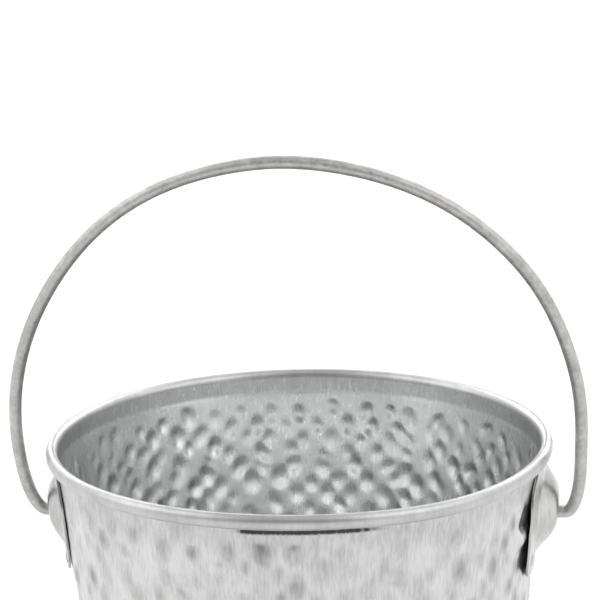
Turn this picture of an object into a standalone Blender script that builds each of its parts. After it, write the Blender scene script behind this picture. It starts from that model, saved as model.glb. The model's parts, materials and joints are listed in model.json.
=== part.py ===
"""A galvanised steel florist bucket with a rolled rim, two pressed ears and a swinging wire bail.

Metres, +Z up. The origin is the centre of the foot ring, on the ground. The bail's pivot axis runs
along X, and the bail is modelled at rest, leaning a little towards -Y.
"""

import math

import bmesh
import bpy
from mathutils import Vector

# Driving dimensions
RIM_RADIUS = 0.1015  # outside of the rolled rim
HEIGHT = 0.180  # ground to the top of the rolled rim
TAPER = math.tan(math.radians(5.2))  # the wall's lean, as a slope
SHEET = 0.0006  # wall and base sheet
GAP = 0.0003  # clearance between neighbouring pieces
STEPS = 72  # segments around the bucket

# Rolled rim: an oval bead around a steel ring
BEAD_WIDTH = 0.0046
BEAD_HEIGHT = 0.0060
BEAD_END = math.radians(-115)  # where the curled edge stops, beside the wall
BEAD_STEPS = 10
BEAD_Z = HEIGHT - BEAD_HEIGHT / 2
BEAD_RADIUS = RIM_RADIUS - BEAD_WIDTH / 2

# Foot: the base pan's edge wraps around the wall's lower edge
FOOT_HALF = 0.0012  # middle of the wall sheet to the middle of either leg of the hem
FOOT_CORNER = 0.0006
HEM_HEIGHT = 0.0050
PAN_Z = 0.0060  # middle of the recessed pan's sheet
PAN_CORNER = 0.0015
SEAL_WIDTH = 0.0010
SEAL_HEIGHT = 0.0006
SEAL_Z = SHEET + GAP
WALL_FOOT_Z = SEAL_Z + SEAL_HEIGHT + GAP

# Bail: 5 mm wire, an arch on two legs that bend in to the pivot pins
WIRE = 0.0025  # radius
PIVOT_DROP = 0.0289  # pivot axis below the middle of the bead
PIVOT_Z = BEAD_Z - PIVOT_DROP
REST_LEAN = math.radians(14.3)
ARCH_HALF = 0.1133
ARCH_BASE = 0.0357  # the arch's centre above the pivot axis
ARCH_RISE = 0.1194
BEND_RIGHT = (0.0065, 0.0284)  # how far in and how far up the lower bend reaches
BEND_LEFT = (0.0094, ARCH_BASE)
ARCH_POINTS = 36
BEND_POINTS = 7
HEAD_FACE = 0.1012  # inner face of the upset head that holds the pin in its ear
HEAD_RADIUS = 0.0042
HEAD_LENGTH = 0.0020
HEAD_TAPER = 0.0005

# Ears: one pressing on each side, curved like the wall, with a hollow dome for the pin
EAR_SHEET = 0.0009
EAR_GAP = 0.0004
EAR_TOP = 0.0034  # drop below the middle of the bead
EAR_BOTTOM = 0.0487
EAR_HALF_TOP = 0.0220
EAR_HALF = 0.0310
EAR_SHOULDER = 0.0200  # the drop where the ear reaches its full width
EAR_CORNER = 0.0100
EAR_STANDOFF = 0.0012  # how far its long edges stand off the wall
EAR_STANDOFF_POWER = 6  # the higher, the nearer the edge the sheet starts to leave the wall
EAR_COLUMNS = 22
EAR_ROWS = 13
EAR_CORNER_ROWS = 3
DOME_DROP = 0.0274
DOME_TOP = 0.0065  # radius of the flat top
DOME_FOOT = 0.0185
DOME_HEIGHT = 0.0078
PIN_HOLE = WIRE + 0.0004

# Rivets: two to an ear, near its lower corners
RIVET_SIDE = 0.0200
RIVET_DROP = 0.0425
RIVET_SHANK = 0.0014
RIVET_HEAD = 0.0025
RIVET_DOME = 0.0009
RIVET_GRIP = EAR_GAP + EAR_SHEET + 0.0005  # wall's outer face to the underside of the outer head
RIVET_STEPS = 12
CUTTER_LENGTH = 0.0100

FINISHES = {  # colour, roughness, metallic
    "galvanised_sheet": ((0.70, 0.71, 0.71), 0.42, 0.9),
    "ear_sheet": ((0.72, 0.72, 0.71), 0.38, 0.9),
    "bail_wire": ((0.47, 0.47, 0.46), 0.45, 0.9),
    "rim_wire": ((0.40, 0.40, 0.40), 0.55, 0.9),
    "rivet": ((0.60, 0.60, 0.60), 0.40, 0.9),
    "seal": ((0.12, 0.12, 0.12), 0.80, 0.0),
}


def clear_scene():
    for thing in list(bpy.data.objects):
        bpy.data.objects.remove(thing, do_unlink=True)


def new_collection(name):
    made = bpy.data.collections.new(name)
    bpy.context.scene.collection.children.link(made)
    return made


def new_material(name):
    colour, roughness, metallic = FINISHES[name]
    made = bpy.data.materials.new(name)
    made.use_nodes = True
    shader = made.node_tree.nodes["Principled BSDF"]
    shader.inputs["Base Color"].default_value = (*colour, 1)
    shader.inputs["Roughness"].default_value = roughness
    shader.inputs["Metallic"].default_value = metallic
    return made


def new_object(name, data, collection, finish=None):
    made = bpy.data.objects.new(name, data)
    collection.objects.link(made)
    if finish:
        data.materials.append(MATERIALS[finish])
    return made


def wall_radius(z):
    """Radius of the wall's outer face at height z."""
    return RIM_RADIUS - BEAD_WIDTH + SHEET - TAPER * (BEAD_Z - z)


def arc(centre, size, start, end, steps):
    """Points along part of an ellipse with half sizes `size`."""
    angles = [start + (end - start) * i / steps for i in range(steps + 1)]
    return [
        (centre[0] + size[0] * math.cos(t), centre[1] + size[1] * math.sin(t)) for t in angles
    ]


def sheet_outline(path, thickness):
    """Both faces of a sheet whose middle follows path: along its left side, then back on its right."""
    points = [Vector(p) for p in path]
    steps = [(b - a).normalized() for a, b in zip(points, points[1:])]
    normals = [Vector((-step.y, step.x)) for step in steps]
    left, right = [], []
    for point, before, after in zip(points, normals[:1] + normals, normals + normals[-1:]):
        # The mitre keeps each face parallel to the middle on both sides of a bend.
        mitre = (before + after) / (1 + before.dot(after)) * thickness / 2
        left.append(point + mitre)
        right.append(point - mitre)
    return left + right[::-1]


def turned(name, outline, collection, finish, closed=True, steps=STEPS):
    """A solid of revolution about Z, from an outline of (radius, height) points."""
    edges = [(i, i + 1) for i in range(len(outline) - 1)]
    if closed:
        edges.append((len(outline) - 1, 0))
    mesh = bpy.data.meshes.new(name)
    mesh.from_pydata([(r, 0, z) for r, z in outline], edges, [])
    made = new_object(name, mesh, collection, finish)
    screw = made.modifiers.new("Turn", "SCREW")
    screw.steps = screw.render_steps = steps
    screw.use_merge_vertices = True
    screw.merge_threshold = 0.00001
    screw.use_smooth_shade = True
    return made


def cutter_cylinder(name, radius, length, place, direction):
    bpy.ops.mesh.primitive_cylinder_add(vertices=24, radius=radius, depth=length, location=place)
    made = bpy.context.object
    made.name = name
    made.rotation_euler = direction.to_track_quat("Z", "Y").to_euler()
    for collection in list(made.users_collection):
        collection.objects.unlink(made)
    CUTTERS.objects.link(made)
    made.hide_render = True
    made.display_type = "WIRE"
    return made


def cut(body, cutter):
    boolean = body.modifiers.new(f"Hole {cutter.name}", "BOOLEAN")
    boolean.operation = "DIFFERENCE"
    boolean.object = cutter


def make_wall():
    """The tapered wall, whose upper edge curls outwards over the rim wire and back to the wall."""
    curl = (BEAD_WIDTH / 2 - SHEET / 2, BEAD_HEIGHT / 2 - SHEET / 2)
    path = [(wall_radius(WALL_FOOT_Z) - SHEET / 2, WALL_FOOT_Z)]
    path += arc((BEAD_RADIUS, BEAD_Z), curl, math.pi, BEAD_END, BEAD_STEPS)
    return turned("bucket_wall", sheet_outline(path, SHEET), PARTS, "galvanised_sheet")


def make_rim_wire():
    bpy.ops.mesh.primitive_torus_add(
        major_radius=BEAD_RADIUS,
        minor_radius=BEAD_WIDTH / 2 - SHEET - GAP,
        major_segments=STEPS,
        minor_segments=6,
        location=(0, 0, BEAD_Z),
    )
    ring = bpy.context.object
    ring.name = "rim_wire"
    for collection in list(ring.users_collection):
        collection.objects.unlink(ring)
    PARTS.objects.link(ring)
    ring.data.materials.append(MATERIALS["rim_wire"])
    ring.data.shade_smooth()


def foot_radius(z):
    """Radius of the middle of the wall's sheet at height z."""
    return wall_radius(z) - SHEET / 2


def make_base_pan():
    """The recessed bottom. Its edge turns down inside the wall, under it and up around it."""
    inner = foot_radius(PAN_Z) - FOOT_HALF
    path = [(0, PAN_Z)]
    path += arc(
        (inner - PAN_CORNER, PAN_Z - PAN_CORNER),
        (PAN_CORNER, PAN_CORNER),
        math.pi / 2,
        0,
        2,
    )
    middle = foot_radius(0)
    low = FOOT_CORNER + SHEET / 2
    reach = FOOT_HALF - FOOT_CORNER
    corner = (FOOT_CORNER, FOOT_CORNER)
    path += arc((middle - reach, low), corner, math.pi, 1.5 * math.pi, 2)
    path += arc((middle + reach, low), corner, 1.5 * math.pi, 2 * math.pi, 2)
    path.append((foot_radius(HEM_HEIGHT) + FOOT_HALF, HEM_HEIGHT))
    outline = sheet_outline(path, SHEET)
    turned("base_pan", outline, PARTS, "galvanised_sheet", closed=False)


def make_base_seal():
    middle = foot_radius(SEAL_Z)
    inner, outer = middle - SEAL_WIDTH / 2, middle + SEAL_WIDTH / 2
    top = SEAL_Z + SEAL_HEIGHT
    outline = [(outer, top), (outer, SEAL_Z), (inner, SEAL_Z), (inner, top)]
    turned("base_seal", outline, PARTS, "seal")


def ear_rows():
    """(drop, half width) of each row of the ear's grid, from its top edge to its bottom edge."""
    rows = []
    straight_end = EAR_BOTTOM - EAR_CORNER
    for i in range(EAR_ROWS + 1):
        drop = EAR_TOP + (straight_end - EAR_TOP) * i / EAR_ROWS
        share = min(1.0, (drop - EAR_TOP) / (EAR_SHOULDER - EAR_TOP))
        half = EAR_HALF_TOP + (EAR_HALF - EAR_HALF_TOP) * math.sin(share * math.pi / 2)
        rows.append((drop, half))
    for i in range(1, EAR_CORNER_ROWS + 1):
        turn = i / EAR_CORNER_ROWS * math.pi / 2
        drop = straight_end + EAR_CORNER * math.sin(turn)
        rows.append((drop, EAR_HALF - EAR_CORNER * (1 - math.cos(turn))))
    return rows


def smooth_step(x):
    x = max(0.0, min(1.0, x))
    return x * x * (3 - 2 * x)


def ear_lift(side, drop, half):
    """How far the ear's inner face stands off the wall."""
    dome = smooth_step(
        (DOME_FOOT - math.hypot(side, drop - DOME_DROP)) / (DOME_FOOT - DOME_TOP)
    )
    edge = EAR_STANDOFF * abs(side / half) ** EAR_STANDOFF_POWER
    return EAR_GAP + DOME_HEIGHT * dome + edge * smooth_step((drop - EAR_TOP) / EAR_SHOULDER)


def on_wall(side, drop, lift):
    """A point `side` along the wall from the +X line, `drop` below the bead and `lift` off it."""
    z = BEAD_Z - drop
    angle = side / wall_radius(BEAD_Z)
    radius = wall_radius(z) + lift
    return Vector((radius * math.cos(angle), radius * math.sin(angle), z))


def make_ear_mesh():
    rows = ear_rows()
    grid = bmesh.new()
    bmesh.ops.create_grid(grid, x_segments=EAR_COLUMNS, y_segments=len(rows) - 1, size=1)
    for vertex in grid.verts:
        drop, half = rows[round((1 - vertex.co.y) / 2 * (len(rows) - 1))]
        side = vertex.co.x * half
        vertex.co = on_wall(side, drop, ear_lift(side, drop, half))
    mesh = bpy.data.meshes.new("ear")
    grid.to_mesh(mesh)
    grid.free()
    mesh.shade_smooth()
    return mesh


def make_ear(name, mesh, turn, holes):
    ear = new_object(name, mesh, PARTS)
    ear.rotation_euler.z = turn
    shell = ear.modifiers.new("Sheet", "SOLIDIFY")
    shell.thickness = EAR_SHEET
    shell.offset = 1
    for hole in holes:
        cut(ear, hole)


def rivet_outline():
    """A low domed head outside, the shank, and a flat set head inside the wall."""
    back = -(SHEET + GAP)
    end = back - RIVET_DOME / 2
    head = arc((0, RIVET_GRIP), (RIVET_HEAD, RIVET_DOME), math.pi / 2, 0, 3)
    head[0] = (0, RIVET_GRIP + RIVET_DOME)
    shank = [(RIVET_SHANK, RIVET_GRIP), (RIVET_SHANK, back)]
    return head + shank + [(RIVET_HEAD, back), (RIVET_HEAD - GAP, end), (0, end)]


def make_rivet(name, seat, outwards):
    rivet = turned(name, rivet_outline(), PARTS, "rivet", closed=False, steps=RIVET_STEPS)
    rivet.location = seat
    rivet.rotation_euler = outwards.to_track_quat("Z", "Y").to_euler()


def bail_end(reach, rise):
    """One end of the wire: the upset head, the pin on the pivot axis and the bend up to the leg."""
    head = HEAD_RADIUS / WIRE
    start = ARCH_HALF - reach
    pin = [
        (HEAD_FACE - HEAD_LENGTH, 0, head),
        (HEAD_FACE - HEAD_TAPER, 0, head),
        (HEAD_FACE, 0, 1),
    ]
    bend = arc((start, rise), (reach, rise), -math.pi / 2, 0, BEND_POINTS)
    return pin + [(x, up, 1) for x, up in bend]


def bail_route():
    """The wire's middle line as (x, height above the pivot axis, radius factor), right to left."""
    right = bail_end(*BEND_RIGHT)
    left = [(-x, up, factor) for x, up, factor in bail_end(*BEND_LEFT)]
    arch = arc((0, ARCH_BASE), (ARCH_HALF, ARCH_RISE), 0, math.pi, ARCH_POINTS)
    return right + [(x, up, 1) for x, up in arch[:-1]] + left[::-1]


def make_bail():
    route = bail_route()
    curve = bpy.data.curves.new("bail_handle", "CURVE")
    curve.dimensions = "3D"
    curve.bevel_depth = WIRE
    curve.bevel_resolution = 4
    curve.use_fill_caps = True
    spline = curve.splines.new("POLY")
    spline.points.add(len(route) - 1)
    for point, (x, up, factor) in zip(spline.points, route):
        point.co = (x, 0, up, 1)
        point.radius = factor
    spline.use_smooth = True
    bail = new_object("bail_handle", curve, PARTS, "bail_wire")
    bail.location.z = PIVOT_Z
    bail.rotation_euler.x = REST_LEAN


def make_side(side, turn, ear_mesh, wall):
    """The ear of one side with its two rivets, and the holes that they need."""
    outwards = Vector((math.cos(turn), math.sin(turn), 0))
    pin_place = outwards * (RIM_RADIUS + HEAD_LENGTH) + Vector((0, 0, PIVOT_Z))
    pin_hole = cutter_cylinder(f"pin_hole_{side}", PIN_HOLE, CUTTER_LENGTH, pin_place, outwards)
    holes = [pin_hole]
    for end, offset in (("front", -RIVET_SIDE), ("back", RIVET_SIDE)):
        # Front is the -Y side on both ears, so the left ear's offsets run the other way round.
        around = offset * outwards.x / wall_radius(BEAD_Z) + turn
        z = BEAD_Z - RIVET_DROP
        normal = Vector((math.cos(around), math.sin(around), -TAPER)).normalized()
        radius = wall_radius(z)
        seat = Vector((radius * math.cos(around), radius * math.sin(around), z))
        name = f"ear_rivet_{side}_{end}"
        hole = cutter_cylinder(f"{name}_hole", RIVET_SHANK + GAP, CUTTER_LENGTH, seat, normal)
        make_rivet(name, seat, normal)
        cut(wall, hole)
        holes.append(hole)
    make_ear(f"ear_{side}", ear_mesh, turn, holes)


clear_scene()
PARTS = new_collection("florist_bucket")
CUTTERS = new_collection("cutters")
MATERIALS = {name: new_material(name) for name in FINISHES}

wall = make_wall()
make_rim_wire()
make_base_pan()
make_base_seal()
ear_mesh = make_ear_mesh()
ear_mesh.materials.append(MATERIALS["ear_sheet"])
make_side("right", 0, ear_mesh, wall)
make_side("left", math.pi, ear_mesh, wall)
make_bail()
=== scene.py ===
"""Looks of the florist bucket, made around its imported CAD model.

Metres, +Z up, in the CAD's frame: the bucket's axis is Z, the bail's pivot axis runs along X, and
`drop` is always measured down from the middle of the rolled rim.
"""

import json
import math

import bpy
import numpy as np
from mathutils import Matrix, Vector


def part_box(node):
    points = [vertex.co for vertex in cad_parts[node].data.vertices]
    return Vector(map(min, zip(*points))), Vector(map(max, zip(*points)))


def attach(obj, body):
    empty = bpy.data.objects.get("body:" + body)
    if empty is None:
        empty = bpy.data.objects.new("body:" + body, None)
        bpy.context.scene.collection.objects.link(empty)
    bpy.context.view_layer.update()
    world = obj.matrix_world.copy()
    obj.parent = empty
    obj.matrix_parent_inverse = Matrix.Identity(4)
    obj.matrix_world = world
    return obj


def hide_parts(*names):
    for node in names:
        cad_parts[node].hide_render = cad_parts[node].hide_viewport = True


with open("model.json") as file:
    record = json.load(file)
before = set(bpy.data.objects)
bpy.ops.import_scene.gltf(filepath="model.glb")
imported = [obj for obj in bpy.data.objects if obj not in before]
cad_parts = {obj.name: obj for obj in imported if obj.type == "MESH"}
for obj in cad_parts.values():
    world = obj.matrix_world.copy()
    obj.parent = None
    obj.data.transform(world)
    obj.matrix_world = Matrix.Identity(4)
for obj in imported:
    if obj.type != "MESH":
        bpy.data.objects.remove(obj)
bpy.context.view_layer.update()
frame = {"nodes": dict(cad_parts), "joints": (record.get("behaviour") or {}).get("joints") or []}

# Sizes from the frame
WALL_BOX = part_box("bucket_wall")
RIM_RADIUS = WALL_BOX[1].y
HEIGHT = WALL_BOX[1].z
WALL_FOOT_Z = WALL_BOX[0].z
PIVOT_Z = next(j for j in frame["joints"] if j["name"] == "bail_swing")["pos_m"][2]

# Wall and rolled rim, as in the CAD
SHEET = 0.0006
GAP = 0.0003
TAPER = math.tan(math.radians(5.2))
BEAD_HALF_WIDTH = 0.0023
BEAD_HALF_HEIGHT = 0.0030
BEAD_END = math.radians(-115)
BEAD_RADIUS = RIM_RADIUS - BEAD_HALF_WIDTH
BEAD_Z = HEIGHT - BEAD_HALF_HEIGHT
TOP_RADIUS = RIM_RADIUS - 2 * BEAD_HALF_WIDTH + SHEET  # wall's outer face at the middle of the bead

# Hammered surface
COLUMNS = 528  # around the bucket
ROW_HEIGHT = 0.00135
FINE_DROP = 0.0120  # the rows above this are finer
FINE_ROWS = 22
BEAD_ROWS = 26
NECK_DROP = 0.0065  # the plain neck under the rim ends here
NECK_TAPER = 0.047  # slope of the neck
NECK_STEP = 0.00012  # how far the sheet steps in at the neck's end
STEP_LEAD = 0.0007  # how far above the neck's end the step begins
STEP_LENGTH = 0.0020
LAND_DROP = 0.0300  # below this the sheet between the marks lies at its own level
LAND_LEVEL = 0.00005  # how far the sheet between the marks stands outside the CAD's wall
MARK_ACROSS = 0.0130  # spacing of hammer marks in a row
MARK_DOWN = 0.00615  # spacing of rows
FIRST_MARK_DROP = 0.0152
MARK_SHIFTS = (0.0017, 0.0011)  # typical shift from a mark's even place, across and down
MARK_FADE = (0.0005, 0.0030)  # below the neck: where the marks begin, and over what length
MARK_HALF_WIDTH = 0.0037
MARK_HALF_HEIGHT = 0.0052
MARK_DEPTH = 0.00078
MARK_BLEND = 4  # exponent that joins overlapping marks
MARK_SHARES = (0.0, 0.25, 0.4, 0.45, 0.8)  # how dark the painted shade on a mark may be
HEM_CLEAR = (0.0080, 0.0140)  # heights between which the hammering fades out above the hem
WAVE_HEIGHT = 0.0003  # slow unevenness of the sheet
RIVET_CLEAR = 0.0048  # radius around a rivet in which the sheet keeps to the CAD's wall

EAR_PRESS = 0.0009  # how far the sheet is pressed in under the ears
PRESS_HALF_WIDTHS = (0.0230, 0.0210)  # right and left
PRESS_BLEND = 0.0120
PRESS_FADE = (0.004, 0.020)  # drop at which the pressing begins, and the length over which it grows
PRESS_LIMIT = 0.0003  # the sheet under an ear stands outside the CAD's wall by no more than this
EAR_POCKETS = (  # dents and a bulge beside the right ear: side, drop, half width, half height, depth
    (-0.0335, 0.0200, 0.0050, 0.0042, 0.0016),
    (-0.0345, 0.0288, 0.0032, 0.0026, -0.0010),
    (-0.0330, 0.0380, 0.0040, 0.0050, 0.0006),
)
DRAWN_IN = (0.0620, 0.0140, 0.0021)  # drop, half height and depth of a hollow below the left ear
DRAWN_IN_HALF_WIDTH = 0.0400
CALM_SIDES = (0.0230, 0.0350)  # distances to the left ear's middle between which the marks are faint
CALM_BLEND = 0.0060
CALM_SHARE = 0.85  # how much of the marks is lost there

# Painted shade in the crevice under the rim, where the curl meets the wall
CREVICE_SHADE_FROM, CREVICE_SHADE_TO = math.radians(-100), math.radians(-65)
CREVICE_SHADE_ENDS = (0.06, 0.20)  # angles over which it fades in and out
CREVICE_SHADE_DROP = 0.0044
CREVICE_SHADE_HALF_HEIGHT = 0.0008

# Unevenness of the rolled rim
RIM_DIP = (math.radians(-48), math.radians(24), 0.0012)  # middle, half width and depth of a dip
DIP_HEIGHTS = (0.120, 0.050)  # height at which the dip begins, and the length over which it grows
PINCHES = [math.radians(a) for a in (-167, 166, -2, 11)]  # where the rim is pinched over an ear
PINCH_HALF_WIDTH = 0.0019
PINCH_DEPTH = 0.0006

# Folded side seam
SEAM_ANGLE = math.radians(14)
SEAM_DEPTH = 0.0004
SEAM_HALF_WIDTH = 0.0005
SLIT_DROP = 0.0120  # the seam gapes a little here, inside, shown only as painted shade
SLIT_HALF_WIDTH = 0.0006
SLIT_HALF_HEIGHT = 0.0028

# Base pan and its hem, as in the CAD
FOOT_HALF = 0.0012
FOOT_CORNER = 0.0006
HEM_HEIGHT = 0.0050
PAN_Z = 0.0060
PAN_CORNER = 0.0015
PAN_DISH = 0.0004  # how far the pan's middle lies below its edge

# Ears and rivets, as in the CAD
EAR_SHEET = 0.0009
EAR_GAP = 0.0004
EAR_TOP = 0.0034
EAR_BOTTOM = 0.0487
EAR_HALF_TOP = 0.0220
EAR_HALF = 0.0310
EAR_SHOULDER = 0.0200
EAR_CORNER = 0.0100
EAR_ROWS = 44  # above the rounded lower corners
EAR_COLUMNS = 71
EAR_STANDOFF_POWER = 6
STANDOFF_TOP = (0.0100, 0.0130)  # drop at which the edges begin to stand off, and over what length
STANDOFF_END = 0.010  # length over which they come back, at the bottom
EAR_WAVE_HEIGHT = 0.0005
EAR_DENTS = ((-0.0215, 0.0190), (-0.0160, 0.0250), (-0.0245, 0.0330), (0.0190, 0.0210))  # side, drop
EAR_DENT_SIZE = (0.0012, 0.0042, 0.00035)  # half width, half height, depth
DOME_DROP = 0.0274
DOME_TOP = 0.0065
DOME_FOOT = 0.0185
DOME_HEIGHT = 0.0078
RIVET_SIDE = 0.0200
RIVET_DROP = 0.0425
RIVET_SHANK = 0.0014
RIVET_HEAD = 0.0025
RIVET_DOME = 0.0004  # a little lower than the CAD's
RIVET_SEAT = EAR_GAP + EAR_SHEET + 0.00012
RIVET_EDGE = 0.0001  # the heads' edges are cut back by this much underneath

# Bail, as in the CAD
WIRE = 0.0025
PIN_HOLE = WIRE + 0.0004
REST_LEAN = math.radians(14.3)
ARCH_HALF = 0.1133
ARCH_BASE = 0.0357
ARCH_RISE = 0.1194
BEND_RIGHT = (0.0065, 0.0284)
BEND_LEFT = (0.0094, ARCH_BASE)
HEAD_FACE = 0.1012
HEAD_RADIUS = 0.0042
HEAD_LENGTH = 0.0020
HEAD_TAPER = 0.0005
BAIL_SIDES = 28
HAND_BENDS = (  # (degrees round the arch, how far the wire stands outwards there)
    (0, -0.0008),
    (15, -0.0005),
    (38, 0.0004),
    (52, 0.0003),
    (79, -0.0006),
    (97, -0.0002),
    (122, 0.0006),
    (150, -0.0005),
    (180, -0.0002),
)

# Softboxes: name, place, size, power
SOFTBOXES = (
    ("softbox_left", (-2.3, -0.7, 1.5), (2.2, 2.4), 15),
    ("softbox_right", (2.2, -1.2, 1.5), (2.2, 2.4), 15),
    ("softbox_back_left", (-1.6, 3.0, 2.1), (2.8, 2.8), 42),
    ("softbox_back_right", (1.6, 3.0, 2.1), (2.8, 2.8), 42),
)

# Camera
CAMERA_AZIMUTH = math.radians(4.8)
CAMERA_ELEVATION = math.radians(17.1)
CAMERA_DISTANCE = 0.944
CAMERA_TILT = math.radians(3.46)  # above the middle of the rim
CAMERA_PAN = math.radians(0.095)
CAMERA_ROLL = math.radians(-1.24)
CAMERA_LENS = 140.5

random = np.random.default_rng(20)


def smooth_step(x):
    x = np.clip(x, 0.0, 1.0)
    return x * x * (3 - 2 * x)


def turn_from(middle, angles):
    """Angles measured from middle, between -pi and pi."""
    return (angles - middle + math.pi) % math.tau - math.pi


def wall_radius(z):
    """Radius of the CAD wall's outer face at height z."""
    return TOP_RADIUS - TAPER * (BEAD_Z - z)


# ---------------------------------------------------------------- meshes


def make_object(name, points, faces, finish, body, nodes):
    """A smooth-shaded piece that rides on a body and stands for CAD nodes."""
    mesh = bpy.data.meshes.new(name)
    mesh.from_pydata([tuple(p) for p in points], [], faces)
    mesh.materials.append(finish)
    mesh.shade_smooth()
    made = bpy.data.objects.new(name, mesh)
    bpy.context.scene.collection.objects.link(made)
    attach(made, body)
    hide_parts(*nodes)
    return made


def grid_faces(rows, columns, wrap_rows, wrap_columns, flip=False):
    """Quads of a grid of points numbered row by row, which may join up in either direction."""
    faces = []
    for i in range(rows if wrap_rows else rows - 1):
        below = (i + 1) % rows
        for j in range(columns if wrap_columns else columns - 1):
            right = (j + 1) % columns
            quad = (i * columns + j, below * columns + j, below * columns + right, i * columns + right)
            faces.append(quad[::-1] if flip else quad)
    return faces


def arc(centre, size, start, end, steps):
    """Points along part of an ellipse with half sizes `size`."""
    turns = np.linspace(start, end, steps + 1)
    return [(centre[0] + size[0] * math.cos(t), centre[1] + size[1] * math.sin(t)) for t in turns]


def sheet_outline(path, thickness):
    """Both faces of a sheet whose middle follows path: along its left side, then back on its right."""
    points = np.array(path, float)
    steps = np.diff(points, axis=0)
    steps /= np.linalg.norm(steps, axis=1)[:, None]
    normals = np.column_stack((-steps[:, 1], steps[:, 0]))
    before = np.vstack((normals[:1], normals))
    after = np.vstack((normals, normals[-1:]))
    mitre = (before + after) / (1 + np.sum(before * after, axis=1))[:, None] * thickness / 2
    return np.vstack((points + mitre, (points - mitre)[::-1]))


# ---------------------------------------------------------------- wall


def hammer_marks():
    """Every mark as (angle, drop, half width, half height, tilt, depth)."""
    row = 0
    drop = FIRST_MARK_DROP
    while drop < BEAD_Z - HEM_CLEAR[0]:
        radius = wall_radius(BEAD_Z - drop)
        count = round(math.tau * radius / MARK_ACROSS)
        for k in range(count):
            across, down = random.normal(0, 1, 2).clip(-1.8, 1.8) * MARK_SHIFTS
            size = random.uniform(0.72, 1.18)
            yield (
                (k + row % 2 / 2) * math.tau / count + across / radius,
                drop + down,
                MARK_HALF_WIDTH * size * random.uniform(0.9, 1.1),
                MARK_HALF_HEIGHT * size * random.uniform(0.9, 1.1),
                random.normal(0, 0.35),
                MARK_DEPTH * random.uniform(0.55, 1.25) * size,
            )
        row += 1
        drop += MARK_DOWN


def hammer(angles, drops):
    """How far the marks push the sheet outwards and how much painted shade lies on them, as drops by angles.
    """
    total = np.zeros((len(drops), len(angles)))
    mark_shade = np.zeros_like(total)
    radii = wall_radius(BEAD_Z - drops)[:, None]
    for angle, drop, half_width, half_height, tilt, depth in hammer_marks():
        turn = turn_from(angle, angles)
        reach = 1.2 * max(half_width, half_height)
        near = np.ix_(np.abs(drops - drop) < reach, np.abs(turn) * RIM_RADIUS < 1.3 * reach)
        side = turn[None, near[1][0]] * radii[near[0][:, 0]]
        down = (drops[near[0][:, 0]] - drop)[:, None]
        across = (side * math.cos(tilt) + down * math.sin(tilt)) / half_width
        along = (down * math.cos(tilt) - side * math.sin(tilt)) / half_height
        inside = np.clip(1 - across**2 - along**2, 0, 1)
        total[near] += (depth * inside**1.5 * 1000) ** MARK_BLEND
        # painted shade: a dark reflection on the upper part of each mark
        higher = (down + 0.0010) / half_height
        spot = np.exp(-1.3 * ((side / half_width) ** 2 + higher**2))
        mark_shade[near] = np.maximum(mark_shade[near], random.choice(MARK_SHARES) * spot)
    return total ** (1 / MARK_BLEND) / 1000, mark_shade


def waves(angles, drops):
    """Slow hand-made unevenness from -1 to 1, as an array of drops by angles."""
    total = np.zeros((len(drops), len(angles)))
    for _ in range(14):
        around, down = random.integers(2, 12), random.uniform(-90, 90)
        phase = random.uniform(0, math.tau)
        total += np.sin(around * angles[None, :] + down * drops[:, None] + phase)
    return total / 14


def rivet_places():
    """(angle, drop) of every rivet."""
    for turn in (0, math.pi):
        for side in (-RIVET_SIDE, RIVET_SIDE):
            yield turn + side / TOP_RADIUS, RIVET_DROP


def by_ear(middle, low, high, blend, angles, drops):
    """1 where the wall is between low and high from an ear's middle line, at the ear's height."""
    side = np.abs(turn_from(middle, angles)) * TOP_RADIUS
    across = smooth_step((side - low) / blend + 0.5) * smooth_step((high - side) / blend + 0.5)
    down = smooth_step((EAR_BOTTOM - drops) / blend + 0.5)
    return across[None, :] * down[:, None]


def ear_hollows(angles, drops):
    """How far the sheet is pushed in beside the right ear and below the left one."""
    total = np.zeros((len(drops), len(angles)))
    for side, drop, half_width, half_height, depth in EAR_POCKETS:
        across = (turn_from(0, angles) * TOP_RADIUS - side) / half_width
        down = (drops - drop) / half_height
        total += depth * np.exp(-(across[None, :] ** 4) - (down**4)[:, None])
    drop, half_height, depth = DRAWN_IN
    across = turn_from(math.pi, angles) * TOP_RADIUS / DRAWN_IN_HALF_WIDTH
    down = (drops - drop) / half_height
    return total + depth * np.exp(-(across[None, :] ** 2) - (down**4)[:, None])


def off_rivets(angles, drops):
    """0 at the rivets, where the sheet keeps to the CAD's wall, and 1 away from them."""
    share = np.ones((len(drops), len(angles)))
    for angle, drop in rivet_places():
        distance = np.hypot(turn_from(angle, angles)[None, :] * TOP_RADIUS, (drops - drop)[:, None])
        share *= 1 - np.exp(-((distance / RIVET_CLEAR) ** 4))
    return share


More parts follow.
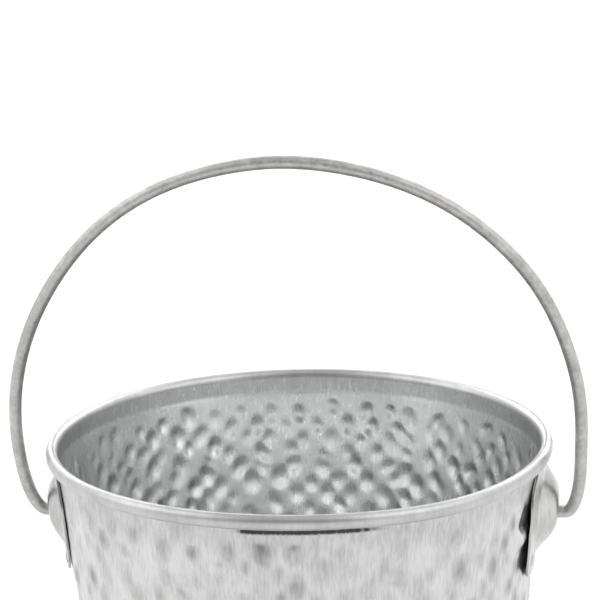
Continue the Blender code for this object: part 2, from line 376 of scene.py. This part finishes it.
def wall_shape(angles, drops):
    """How far the sheet stands outside the CAD's wall and how much painted shade lies on its marks, as drops
    by angles.
    """
    heights = BEAD_Z - drops
    neck = (TAPER - NECK_TAPER) * np.minimum(drops, NECK_DROP)
    share = smooth_step((drops - NECK_DROP) / (LAND_DROP - NECK_DROP))
    level = neck * (1 - share) + LAND_LEVEL * share
    level -= NECK_STEP * smooth_step((drops - NECK_DROP + STEP_LEAD) / STEP_LENGTH)
    hammered = smooth_step((heights - HEM_CLEAR[0]) / (HEM_CLEAR[1] - HEM_CLEAR[0]))
    marked = smooth_step((drops - NECK_DROP - MARK_FADE[0]) / MARK_FADE[1]) * hammered
    height, mark_shade = hammer(angles, drops)
    under = by_ear(0, -1, PRESS_HALF_WIDTHS[0], PRESS_BLEND, angles, drops)
    under += by_ear(math.pi, -1, PRESS_HALF_WIDTHS[1], PRESS_BLEND, angles, drops)
    height *= 1 - CALM_SHARE * by_ear(math.pi, *CALM_SIDES, CALM_BLEND, angles, drops)
    shape = (level * hammered)[:, None] + height * marked[:, None]
    shape += WAVE_HEIGHT * waves(angles, drops) * marked[:, None] * (1 - under)
    shape -= EAR_PRESS * under * smooth_step((drops - PRESS_FADE[0]) / PRESS_FADE[1])[:, None]
    shape = np.minimum(shape, PRESS_LIMIT + 0.0040 * (1 - under))
    shape -= ear_hollows(angles, drops)
    shape *= off_rivets(angles, drops)
    seam = turn_from(SEAM_ANGLE, angles) * TOP_RADIUS / SEAM_HALF_WIDTH
    groove = np.exp(-(seam**2))[None, :]
    return shape - SEAM_DEPTH * groove * marked[:, None], mark_shade * marked[:, None]


def rim_dip(angles):
    """How far the top of the bucket has sunk, by angle."""
    middle, half_width, depth = RIM_DIP
    return depth * np.exp(-((turn_from(middle, angles) / half_width) ** 2))


def pinches(angles):
    """Share of the full pinch that the rim has, by angle."""
    total = np.zeros(len(angles))
    for angle in PINCHES:
        total += np.exp(-((turn_from(angle, angles) * RIM_RADIUS / PINCH_HALF_WIDTH) ** 2))
    return total


def store(piece, name, values):
    """Keeps one number a point on the piece, for its finish to read."""
    attribute = piece.data.attributes.new(name, "FLOAT", "POINT")
    attribute.data.foreach_set("value", np.asarray(values, np.float32))


def store_painted_shade(wall, angles, drops, rows):
    """Painted shade in the crevice under the rim, outside, and in the seam's gape, inside."""
    crevice = smooth_step((angles - math.tau - CREVICE_SHADE_FROM) / CREVICE_SHADE_ENDS[0])
    crevice *= smooth_step((CREVICE_SHADE_TO - angles + math.tau) / CREVICE_SHADE_ENDS[1])
    band = np.exp(-(((drops[::-1] - CREVICE_SHADE_DROP) / CREVICE_SHADE_HALF_HEIGHT) ** 4))
    slit = np.exp(-((turn_from(SEAM_ANGLE, angles) * TOP_RADIUS / SLIT_HALF_WIDTH) ** 4))
    gape = np.exp(-(((drops - SLIT_DROP) / SLIT_HALF_HEIGHT) ** 4))
    painted_shade = np.zeros((rows, len(angles)))
    painted_shade[rows - len(drops) :] = band[:, None] * crevice
    painted_shade[: len(drops)] = gape[:, None] * slit
    store(wall, "painted_shade", painted_shade.ravel())


def store_zones(wall, drops, rows, columns):
    """Where the wall is neck, bead or outer face. The rows run up inside, over the bead and down."""
    outside = np.zeros(rows)
    outside[len(drops) :] = 1
    neck = 1 - smooth_step((drops - NECK_DROP + 0.0010) / 0.0020)
    # painted shade under the rim: the outer neck is made darker, fading out downwards
    shade_under_rim = 1 - smooth_step((drops[::-1] - NECK_DROP) / 0.0120)
    bead = np.ones(rows - 2 * len(drops))
    neck_tone = np.concatenate((neck * 1.3, bead * 0.5, shade_under_rim * 0.6))
    store(wall, "neck", np.repeat(neck_tone, columns))
    store(wall, "bead", np.repeat(np.concatenate((0 * neck, bead, 0 * neck)), columns))
    store(wall, "outside", np.repeat(outside, columns))


def make_wall():
    """The wall: one sheet, hammered from inside, whose upper edge curls outwards into the rim."""
    seam_steps = np.array([-2.0, -1.0, -0.5, 0.0, 0.5, 1.0, 2.0]) * SEAM_HALF_WIDTH / TOP_RADIUS
    angles = np.sort(np.append(np.arange(COLUMNS) * math.tau / COLUMNS, SEAM_ANGLE + seam_steps))
    foot_drop = BEAD_Z - WALL_FOOT_Z
    count = round((foot_drop - FINE_DROP) / ROW_HEIGHT)
    fine = np.linspace(FINE_DROP - 0.0005, 0.0005, FINE_ROWS)
    drops = np.append(np.linspace(foot_drop, FINE_DROP, count), fine)
    path = [(wall_radius(BEAD_Z - drop) - SHEET / 2, BEAD_Z - drop) for drop in drops]
    curl = (BEAD_HALF_WIDTH - SHEET / 2, BEAD_HALF_HEIGHT - SHEET / 2)
    path += arc((BEAD_RADIUS, BEAD_Z), curl, math.pi, BEAD_END, BEAD_ROWS)
    outline = sheet_outline(path, SHEET)

    lift = np.zeros((len(path), len(angles)))
    shape, mark_shade = wall_shape(angles, drops)
    lift[: len(drops)] = shape
    turns = np.linspace(math.pi, BEAD_END, BEAD_ROWS + 1)
    lift[len(drops) :] = -PINCH_DEPTH * pinches(angles) * np.clip(np.cos(turns), 0, 1)[:, None] ** 2
    radii = outline[:, :1] + np.vstack((lift, lift[::-1]))
    sunk = rim_dip(angles) * smooth_step((outline[:, 1:] - DIP_HEIGHTS[0]) / DIP_HEIGHTS[1])
    points = np.stack((radii * np.cos(angles), radii * np.sin(angles), outline[:, 1:] - sunk), axis=2)
    rows, columns = radii.shape
    wall = make_object(
        "wall_sheet",
        points.reshape(-1, 3),
        grid_faces(rows, columns, True, True),
        wall_finish(),
        "bucket",
        ["bucket_wall"],
    )
    mark_shade_rows = np.zeros((rows, columns))
    mark_shade_rows[rows - len(drops) :] = mark_shade[::-1]
    store_zones(wall, drops, rows, columns)
    store(wall, "mark_shade", mark_shade_rows.ravel())
    store_painted_shade(wall, angles, drops, rows)
    return wall


def make_rim_ring():
    """The steel ring that the rim is curled around. It follows the rim's dip."""
    angles = np.arange(180) * math.tau / 180
    turns = np.arange(12)[:, None] * math.tau / 12
    thickness = BEAD_HALF_WIDTH - SHEET - GAP
    radii = BEAD_RADIUS + thickness * np.cos(turns) + 0 * angles
    heights = BEAD_Z + thickness * np.sin(turns) - rim_dip(angles)
    points = np.stack((radii * np.cos(angles), radii * np.sin(angles), heights), axis=2)
    return make_object(
        "rim_ring",
        points.reshape(-1, 3),
        grid_faces(12, 180, True, True, True),
        wire_finish("rim_wire"),
        "bucket",
        ["rim_wire"],
    )


# ---------------------------------------------------------------- base


def make_pan():
    """The recessed bottom, whose edge turns down inside the wall, under it and up around it."""
    middle = wall_radius(0) - SHEET / 2
    inner = wall_radius(PAN_Z) - SHEET / 2 - FOOT_HALF
    corner = (FOOT_CORNER, FOOT_CORNER)
    low = FOOT_CORNER + SHEET / 2
    reach = FOOT_HALF - FOOT_CORNER
    path = [(r, PAN_Z - PAN_DISH * math.cos(r / inner * math.pi / 2)) for r in np.linspace(0.001, 0.075, 30)]
    path += arc((inner - PAN_CORNER, PAN_Z - PAN_CORNER), (PAN_CORNER, PAN_CORNER), math.pi / 2, 0, 8)
    path += arc((middle - reach, low), corner, math.pi, 1.5 * math.pi, 6)
    path += arc((middle + reach, low), corner, 1.5 * math.pi, 2 * math.pi, 6)
    path.append((wall_radius(HEM_HEIGHT) - SHEET / 2 + FOOT_HALF, HEM_HEIGHT))
    outline = sheet_outline(path, SHEET)
    angles = np.arange(256) * math.tau / 256
    radii = outline[:, :1] + 0 * angles
    heights = outline[:, 1:] + 0 * angles
    points = np.stack((radii * np.cos(angles), radii * np.sin(angles), heights), axis=2)
    rows = len(outline)
    faces = grid_faces(rows, 256, False, True, True)
    faces += [tuple(range(256)), tuple(range((rows - 1) * 256, rows * 256))[::-1]]
    return make_object(
        "pan_sheet",
        points.reshape(-1, 3),
        faces,
        galvanised_finish("pan"),
        "bucket",
        ["base_pan"],
    )


# ---------------------------------------------------------------- ears and rivets


def ear_rows(bottom):
    """(drop, half width) of each row of an ear's grid, from its top edge to its bottom edge."""
    straight_end = bottom - EAR_CORNER
    drops = np.linspace(EAR_TOP, straight_end, EAR_ROWS)
    share = np.clip((drops - EAR_TOP) / (EAR_SHOULDER - EAR_TOP), 0, 1)
    halves = EAR_HALF_TOP + (EAR_HALF - EAR_HALF_TOP) * np.sin(share * math.pi / 2)
    turns = np.linspace(0, math.pi / 2, 14)[1:]
    drops = np.append(drops, straight_end + EAR_CORNER * np.sin(turns))
    halves = np.append(halves, EAR_HALF - EAR_CORNER * (1 - np.cos(turns)))
    return drops, halves


def make_cutter(radius, place, direction):
    """A hidden cylinder that cuts a round hole."""
    bpy.ops.mesh.primitive_cylinder_add(vertices=40, radius=radius, depth=0.010, location=place)
    cutter = bpy.context.object
    cutter.rotation_euler = direction.to_track_quat("Z", "Y").to_euler()
    cutter.hide_render = True
    return cutter


def settle(piece):
    """Applies the piece's modifiers, so that the mesh is final, and removes the cutters."""
    evaluated = piece.evaluated_get(bpy.context.evaluated_depsgraph_get())
    mesh = bpy.data.meshes.new_from_object(evaluated)
    cutters = [m.object for m in piece.modifiers if m.type == "BOOLEAN"]
    piece.modifiers.clear()
    piece.data = mesh
    for cutter in cutters:
        bpy.data.objects.remove(cutter)


def make_ear(name, node, turn, standoffs, dome_height, dome_squeeze, bottom, dulling_and_shade):
    """A pressed ear, at the angle `turn`.

    standoffs: how far its two upright edges stand off the wall, front first
    dome_squeeze: under 1, the dome reaches further up
    """
    drops, halves = ear_rows(bottom)
    across = np.linspace(-1, 1, EAR_COLUMNS)
    side = across[None, :] * halves[:, None]
    drop = drops[:, None] + 0 * across
    above = np.where(drop < DOME_DROP, dome_squeeze, 1.0)
    reach = np.hypot(side, (drop - DOME_DROP) * above)
    flat = smooth_step((DOME_FOOT - reach) / (DOME_FOOT - DOME_TOP))
    dome = 0.6 * flat + 0.4 * np.clip(1 - (reach / DOME_FOOT) ** 2, 0, 1) ** 1.5
    front = side * math.cos(turn) < 0
    edge = np.where(front, standoffs[0], standoffs[1]) * np.abs(across) ** EAR_STANDOFF_POWER
    edge = edge * (1 - smooth_step((drop - bottom + STANDOFF_END) / STANDOFF_END))
    edge = edge * smooth_step((drop - STANDOFF_TOP[0]) / STANDOFF_TOP[1])
    lift = EAR_GAP + dome_height * dome + edge
    angles = turn + side / TOP_RADIUS
    uneven = EAR_WAVE_HEIGHT * waves(across * 2.0, drops * 1.5) * smooth_step((drop - EAR_TOP) / 0.01)
    dent_width, dent_height, dent_depth = EAR_DENT_SIZE
    for dent_side, dent_drop in EAR_DENTS:
        aside = (side * math.cos(turn) - dent_side) / dent_width
        lift -= dent_depth * np.exp(-(aside**2) - ((drop - dent_drop) / dent_height) ** 2)
    radii = wall_radius(BEAD_Z - drop) + lift + np.abs(uneven) * (1 - dome)
    points = np.stack((radii * np.cos(angles), radii * np.sin(angles), BEAD_Z - drop), axis=2)
    ear = make_object(
        name,
        points.reshape(-1, 3),
        grid_faces(len(drops), len(across), False, False),
        galvanised_finish(name, dulling_and_shade),
        "bucket",
        [node],
    )
    shell = ear.modifiers.new("Sheet", "SOLIDIFY")
    shell.thickness = EAR_SHEET
    shell.offset = 1
    outwards = Vector((math.cos(turn), 0, 0))
    cutters = [make_cutter(PIN_HOLE, outwards * RIM_RADIUS + Vector((0, 0, PIVOT_Z)), outwards)]
    for place, normal in rivet_seats():
        if place.x * outwards.x > 0:
            cutters.append(make_cutter(RIVET_SHANK + GAP, place, normal))
    for cutter in cutters:
        cut = ear.modifiers.new("Hole", "BOOLEAN")
        cut.operation = "DIFFERENCE"
        cut.object = cutter
    edges = ear.modifiers.new("Soft edges", "BEVEL")
    edges.width = 0.0002
    edges.segments = 2
    edges.limit_method = "ANGLE"
    edges.angle_limit = math.radians(50)
    settle(ear)
    return ear


def rivet_seats():
    """(place on the CAD wall's outer face, outward normal) of every rivet."""
    for angle, drop in rivet_places():
        z = BEAD_Z - drop
        radius = wall_radius(z)
        place = Vector((radius * math.cos(angle), radius * math.sin(angle), z))
        yield place, Vector((math.cos(angle), math.sin(angle), -TAPER)).normalized()


def make_rivets():
    """Four rivets with a low domed head outside and a flat set head inside."""
    back = -(SHEET + GAP)
    outline = arc((0, RIVET_SEAT), (RIVET_HEAD, RIVET_DOME), math.radians(88), 0, 10)
    under_head = RIVET_SEAT - RIVET_EDGE
    outline += [(RIVET_HEAD - RIVET_EDGE, under_head), (RIVET_SHANK, under_head)]
    outline += [(RIVET_SHANK, back), (RIVET_HEAD - RIVET_EDGE, back)]
    outline += arc((0, back), (RIVET_HEAD, RIVET_DOME / 2), 0, math.radians(-88), 6)
    sides = 32
    turns = np.arange(sides) * math.tau / sides
    profile = np.array(outline)
    local = np.stack(
        (profile[:, :1] * np.cos(turns), profile[:, :1] * np.sin(turns), profile[:, 1:] + 0 * turns), axis=2
    ).reshape(-1, 3)
    faces = grid_faces(len(outline), sides, False, True)
    faces += [tuple(range(sides)), tuple(range((len(outline) - 1) * sides, len(outline) * sides))[::-1]]
    names = ("right_front", "right_back", "left_back", "left_front")
    for name, (place, normal) in zip(names, rivet_seats()):
        turn = normal.to_track_quat("Z", "Y").to_matrix()
        points = [place + turn @ Vector(p) for p in local]
        finish = galvanised_finish("rivet", 0.10)
        make_object(f"rivet_{name}", points, faces, finish, "bucket", [f"ear_rivet_{name}"])


# ---------------------------------------------------------------- bail


def bail_end(reach, rise):
    """One end of the wire: the upset head, the pin on the pivot axis and the bend up to the leg."""
    head = HEAD_RADIUS / WIRE
    start = ARCH_HALF - reach
    face = HEAD_FACE - HEAD_LENGTH
    pin = [
        (face, 0, 0.25),
        (face, 0, head * 0.93),
        (face + 0.0002, 0, head),
        (HEAD_FACE - HEAD_TAPER, 0, head),
        (HEAD_FACE, 0, 1),
    ]
    pin += [(x, 0, 1) for x in np.linspace(HEAD_FACE, start, 5)[1:-1]]
    bend = arc((start, rise), (reach, rise), -math.pi / 2, 0, 28)
    return pin + [(x, up, 1) for x, up in bend]


def bail_route():
    """The wire's middle line as (x, height above the pivot axis, radius factor), right to left."""
    right = bail_end(*BEND_RIGHT)
    left = [(-x, up, factor) for x, up, factor in bail_end(*BEND_LEFT)]
    degrees, offsets = zip(*HAND_BENDS)
    knots = np.radians(degrees)
    turns = np.linspace(0, math.pi, 181)
    arch = []
    for t in turns:
        k = min(int(np.searchsorted(knots, t, side="right")), len(knots) - 1)
        share = float(smooth_step((t - knots[k - 1]) / (knots[k] - knots[k - 1])))
        out = offsets[k - 1] + (offsets[k] - offsets[k - 1]) * share
        x, up = math.cos(t), math.sin(t)
        arch.append(((ARCH_HALF + out) * x, ARCH_BASE + (ARCH_RISE + out) * up, 1))
    leg_right, leg_left = offsets[0], offsets[-1]
    right = [(x + leg_right * smooth_step(up / BEND_RIGHT[1]), up, k) for x, up, k in right]
    left = [(x - leg_left * smooth_step(up / BEND_LEFT[1]), up, k) for x, up, k in left]
    join = [(x, up, k) for x, up, k in right if up < ARCH_BASE - 0.002]
    return join + arch + [(x, up, k) for x, up, k in left[::-1] if up < ARCH_BASE - 0.002]


def make_bail():
    """The bail: a round wire swept along its route, leaning forwards at rest."""
    route = np.array([[float(v) for v in p] for p in bail_route()])
    centres = np.column_stack((route[:, 0], np.zeros(len(route)), route[:, 1]))
    ahead = np.gradient(centres, axis=0)
    straight = np.abs(centres[:, 2]) < 1e-9
    ahead[straight] = (1, 0, 0)
    ahead /= np.linalg.norm(ahead, axis=1)[:, None]
    sideways = np.array([0.0, 1.0, 0.0])
    upright = np.cross(ahead, sideways)
    turns = np.arange(BAIL_SIDES) * math.tau / BAIL_SIDES
    rings = (
        centres[:, None, :]
        + WIRE * route[:, 2][:, None, None]
        * (np.cos(turns)[None, :, None] * sideways + np.sin(turns)[None, :, None] * upright[:, None, :])
    )
    lean = np.array(Matrix.Rotation(REST_LEAN, 3, "X"))
    points = rings.reshape(-1, 3) @ lean.T + (0, 0, PIVOT_Z)
    rows = len(route)
    faces = grid_faces(rows, BAIL_SIDES, False, True)
    faces += [tuple(range(BAIL_SIDES)), tuple(range((rows - 1) * BAIL_SIDES, rows * BAIL_SIDES))[::-1]]
    finish = wire_finish("bail_wire")
    return make_object("bail_wire", points, faces, finish, "bail", ["bail_handle"])


# ---------------------------------------------------------------- finishes


def add_node(tree, kind, inputs, **settings):
    """A shader node whose inputs are given as values or as other nodes' outputs."""
    made = tree.nodes.new("ShaderNode" + kind)
    for key, value in settings.items():
        setattr(made, key, value)
    for key, value in inputs.items():
        if isinstance(value, bpy.types.NodeSocket):
            tree.links.new(value, made.inputs[key])
        else:
            made.inputs[key].default_value = value
    return made


class Finish:
    """A metal finish under construction, with short calls that add nodes to it."""

    def __init__(self, name, metallic=1.0):
        self.material = bpy.data.materials.new(name)
        self.material.use_nodes = True
        self.tree = self.material.node_tree
        self.shader = self.tree.nodes["Principled BSDF"]
        self.shader.inputs["Metallic"].default_value = metallic
        self.place = self.tree.nodes.new("ShaderNodeTexCoord").outputs["Object"]

    def node(self, kind, inputs, **settings):
        return add_node(self.tree, kind, inputs, **settings)

    def noise(self, size, stretch=(1, 1, 1), detail=2.0):
        """Noise from 0 to 1 whose features are about `size` metres, longer where stretch is under 1."""
        inputs = {"Vector": self.place, "Scale": stretch}
        mapped = self.node("Mapping", inputs)
        inputs = {"Vector": mapped.outputs[0], "Scale": 1 / size, "Detail": detail}
        return self.node("TexNoise", inputs).outputs[0]

    def remap(self, value, low, high, to_low, to_high):
        inputs = {"Value": value, "From Min": low, "From Max": high, "To Min": to_low, "To Max": to_high}
        return self.node("MapRange", inputs).outputs[0]

    def stored(self, name):
        return self.node("Attribute", {}, attribute_name=name).outputs["Fac"]

    def combine(self, operation, a, b):
        return self.node("Math", {0: a, 1: b}, operation=operation).outputs[0]

    def scale(self, value, share):
        return self.combine("MULTIPLY", value, share)

    def mix(self, a, share_a, b, share_b):
        """a and b added up, each times its share."""
        return self.combine("ADD", self.scale(a, share_a), self.scale(b, share_b))

    def tint(self, value, stops):
        """Colour from a value, through (position, colour) stops."""
        ramp = self.node("ValToRGB", {"Fac": value})
        elements = ramp.color_ramp.elements
        while len(elements) < len(stops):
            elements.new(0.5)
        for element, (position, colour) in zip(elements, stops):
            element.position = position
            element.color = (*colour, 1)
        return ramp.outputs[0]

    def bump(self, height, distance, strength):
        inputs = {"Height": height, "Distance": distance, "Strength": strength}
        return self.node("Bump", inputs).outputs[0]

    def shade(self, colour, roughness, normal):
        for key, value in (("Base Color", colour), ("Roughness", roughness), ("Normal", normal)):
            self.tree.links.new(value, self.shader.inputs[key])
        return self.material


def galvanised_finish(name, dulling_and_shade=0.0):
    """Bright zinc with fine upright brushing and faint cloudy patches."""
    finish = Finish(name)
    fine = finish.noise(0.0008, (1, 1, 0.16), 2.0)
    broad = finish.noise(0.0026, (1, 1, 0.20), 3.0)
    cloud = finish.noise(0.007, (1, 1, 0.6), 3.0)
    brushing = finish.mix(fine, 0.4, broad, 0.6)
    tone = finish.mix(brushing, 0.5, cloud, 0.5)
    # Darker zinc: a duller finish on the rivets, and painted shade on the left ear, whose sheet is the same
    # as the right one's
    light, dark = 0.76 - dulling_and_shade, 0.42 - dulling_and_shade
    stops = [(0.30, (dark, dark, dark * 0.99)), (0.70, (light, light, light * 0.99))]
    colour = finish.tint(tone, stops)
    roughness = finish.remap(brushing, 0.3, 0.7, 0.34, 0.24)
    normal = finish.bump(brushing, 0.00012, 0.35)
    return finish.shade(colour, roughness, normal)


def wall_brushing(finish, fine, outside, bead):
    """Fine upright brushing about 0.5: weaker inside, weakest on the bead."""
    broad = finish.noise(0.0018, (1, 1, 0.10), 2.0)
    strength = finish.combine("ADD", 0.7, finish.scale(outside, 0.3))
    strength = finish.combine("SUBTRACT", strength, finish.scale(bead, 0.6))
    grain = finish.mix(fine, 0.65, broad, 0.35)
    grain = finish.combine("MULTIPLY", finish.combine("SUBTRACT", grain, 0.5), strength)
    return finish.combine("ADD", grain, 0.5)


def wall_tone(finish, brushing, fine, outside):
    """Brightness of the sheet: a duller outer face with painted shade on the upper part of the marks
    outside, darker on the neck and the bead with painted shade under the rim on the outer neck, and painted
    shade in the crevice under the rim and in the seam's gape.
    """
    cloud = finish.noise(0.011, (1, 1, 0.7), 3.0)
    tone = finish.mix(brushing, 0.6, cloud, 0.4)
    tone = finish.combine("ADD", finish.scale(tone, 0.65), 0.375)
    # darker on the neck inside and on the bead; on the outer neck this is painted shade under the rim
    tone = finish.combine("SUBTRACT", tone, finish.scale(finish.stored("neck"), 0.15))
    # painted shade on the upper part of the marks outside, added to a duller outer face
    blotch = finish.scale(finish.stored("mark_shade"), finish.remap(cloud, 0.3, 0.7, 0.20, 0.42))
    dulling_and_mark_shade = finish.combine("ADD", blotch, 0.205)
    tone = finish.combine("SUBTRACT", tone, finish.scale(outside, dulling_and_mark_shade))
    ticks = finish.remap(fine, 0.35, 0.60, 0.35, 1.1)
    # painted shade in the crevice under the rim and in the seam's gape, broken up by the fine brushing
    return finish.combine("SUBTRACT", tone, finish.scale(finish.stored("painted_shade"), ticks))


def wall_finish():
    """The galvanised sheet of the wall and its rim."""
    finish = Finish("wall")
    fine = finish.noise(0.0008, (1, 1, 0.16), 2.0)
    outside = finish.stored("outside")
    bead = finish.stored("bead")
    brushing = wall_brushing(finish, fine, outside, bead)
    tone = wall_tone(finish, brushing, fine, outside)
    stops = [(0.0, (0.06, 0.06, 0.06)), (0.50, (0.69, 0.695, 0.69)), (0.80, (0.88, 0.89, 0.885))]
    colour = finish.tint(tone, stops)
    roughness = finish.remap(brushing, 0.3, 0.7, 0.33, 0.24)
    roughness = finish.combine("ADD", roughness, finish.scale(outside, 0.04))
    roughness = finish.combine("ADD", roughness, finish.scale(bead, 0.09))
    normal = finish.bump(brushing, 0.00012, 0.35)
    return finish.shade(colour, roughness, normal)


def wire_finish(name):
    """Dull drawn steel wire."""
    finish = Finish(name)
    grain = finish.noise(0.0007, (0.4, 1, 0.4), 3.0)
    cloud = finish.noise(0.005, detail=4.0)
    tone = finish.mix(grain, 0.5, cloud, 0.5)
    colour = finish.tint(tone, [(0.30, (0.40, 0.395, 0.385)), (0.70, (0.70, 0.695, 0.68))])
    roughness = finish.remap(grain, 0.3, 0.7, 0.42, 0.55)
    normal = finish.bump(grain, 0.00008, 0.4)
    return finish.shade(colour, roughness, normal)


def seal_finish():
    """Dark sealing compound."""
    finish = Finish("seal", metallic=0.0)
    lumps = finish.noise(0.0012, detail=3.0)
    colour = finish.tint(lumps, [(0.3, (0.035, 0.035, 0.034)), (0.7, (0.075, 0.073, 0.070))])
    roughness = finish.remap(lumps, 0.3, 0.7, 0.55, 0.70)
    normal = finish.bump(lumps, 0.0001, 0.5)
    return finish.shade(colour, roughness, normal)


# ---------------------------------------------------------------- studio


def make_floor():
    """A plain pale floor."""
    bpy.ops.mesh.primitive_plane_add(size=60, location=(0, 0, 0))
    floor = bpy.context.object
    floor.name = "studio_floor"
    finish = Finish("studio_floor", metallic=0.0)
    cloud = finish.noise(0.5, detail=2.0)
    colour = finish.tint(cloud, [(0.3, (0.92, 0.92, 0.92)), (0.7, (0.94, 0.94, 0.94))])
    roughness = finish.remap(cloud, 0.3, 0.7, 0.75, 0.85)
    normal = finish.bump(cloud, 0.0001, 0.1)
    floor.data.materials.append(finish.shade(colour, roughness, normal))


def camera_direction():
    """From the middle of the rim to the camera, as a unit vector."""
    level = math.cos(CAMERA_ELEVATION)
    return Vector(
        (
            math.sin(CAMERA_AZIMUTH) * level,
            -math.cos(CAMERA_AZIMUTH) * level,
            math.sin(CAMERA_ELEVATION),
        )
    )


def make_world():
    """A tent: bright to the left and the right, dimmer along the middle, at the front and low down."""
    world = bpy.data.worlds.new("studio")
    bpy.context.scene.world = world
    world.use_nodes = True
    tree = world.node_tree
    background = tree.nodes["Background"]

    def ramp(value, low, high, to_low, to_high):
        inputs = {"Value": value, "From Min": low, "From Max": high, "To Min": to_low, "To Max": to_high}
        return add_node(tree, "MapRange", inputs, interpolation_type="SMOOTHSTEP").outputs[0]

    def math_node(operation, a, b):
        return add_node(tree, "Math", {0: a, 1: b}, operation=operation).outputs[0]

    direction = add_node(tree, "TexCoord", {}).outputs["Generated"]
    parts = add_node(tree, "SeparateXYZ", {"Vector": direction})
    x, z = parts.outputs["X"], parts.outputs["Z"]
    sides = math_node("MAXIMUM", ramp(x, 0.03, 0.16, 0, 1), ramp(x, -0.18, -0.32, 0, 0.90))
    overhead = ramp(sides, 0, 1, 0.38, 0.92)
    behind = ramp(sides, 0, 1, 0.29, 0.86)
    horizon = ramp(parts.outputs["Y"], -0.6, 0.4, 0.36, behind)
    share = ramp(z, 0.20, 0.45, 0, 1)
    rise = math_node("SUBTRACT", overhead, horizon)
    light = math_node("ADD", horizon, math_node("MULTIPLY", rise, share))
    inputs = {0: direction, 1: camera_direction()}
    towards = add_node(tree, "VectorMath", inputs, operation="DOT_PRODUCT").outputs["Value"]
    front = ramp(towards, math.cos(math.radians(42)), math.cos(math.radians(10)), 1, 0.42)
    tree.links.new(math_node("MULTIPLY", light, front), background.inputs["Strength"])
    background.inputs["Color"].default_value = (1.0, 1.0, 1.0, 1)


def make_softbox(name, place, size, power):
    """An area light that faces the middle of the bucket."""
    light = bpy.data.lights.new(name, "AREA")
    light.shape = "RECTANGLE"
    light.size, light.size_y = size
    light.energy = power
    made = bpy.data.objects.new(name, light)
    bpy.context.scene.collection.objects.link(made)
    made.location = place
    made.rotation_euler = (Vector((0, 0, HEIGHT / 2)) - Vector(place)).to_track_quat("-Z", "Y").to_euler()


def make_camera():
    """The camera, aimed a little above the middle of the rim."""
    centre = Vector((0, 0, BEAD_Z))
    away = camera_direction()
    aimed = (-away).to_track_quat("-Z", "Y").to_matrix()
    turn = Matrix.Rotation(CAMERA_TILT, 3, "X") @ Matrix.Rotation(-CAMERA_PAN, 3, "Y")
    roll = Matrix.Rotation(CAMERA_ROLL, 3, "Z")
    data = bpy.data.cameras.new("camera")
    data.lens = CAMERA_LENS
    data.sensor_width = 36
    camera = bpy.data.objects.new("camera", data)
    bpy.context.scene.collection.objects.link(camera)
    place = Matrix.Translation(centre + away * CAMERA_DISTANCE)
    camera.matrix_world = place @ (aimed @ turn @ roll).to_4x4()
    bpy.context.scene.camera = camera


for node in frame["nodes"].values():  # of these, only the base seal stays in view
    node.data.materials.clear()
    node.data.materials.append(bpy.data.materials.get("seal") or seal_finish())
make_wall()
make_rim_ring()
make_pan()
make_ear(
    "ear_plate_right",
    "ear_right",
    turn=0,
    standoffs=(0.0012, 0.0006),
    dome_height=DOME_HEIGHT,
    dome_squeeze=0.86,
    bottom=EAR_BOTTOM,
    dulling_and_shade=0.0,
)
make_ear(
    "ear_plate_left",
    "ear_left",
    turn=math.pi,
    standoffs=(0.0, 0.0006),
    dome_height=DOME_HEIGHT - 0.0013,
    dome_squeeze=1.0,
    bottom=EAR_BOTTOM - 0.0020,
    # painted shade: the left ear gets a darker copy of the right ear's finish
    dulling_and_shade=0.08,
)
make_rivets()
make_bail()
make_floor()
make_world()
for softbox in SOFTBOXES:
    make_softbox(*softbox)
make_camera()
bpy.context.scene.view_settings.view_transform = "Standard"
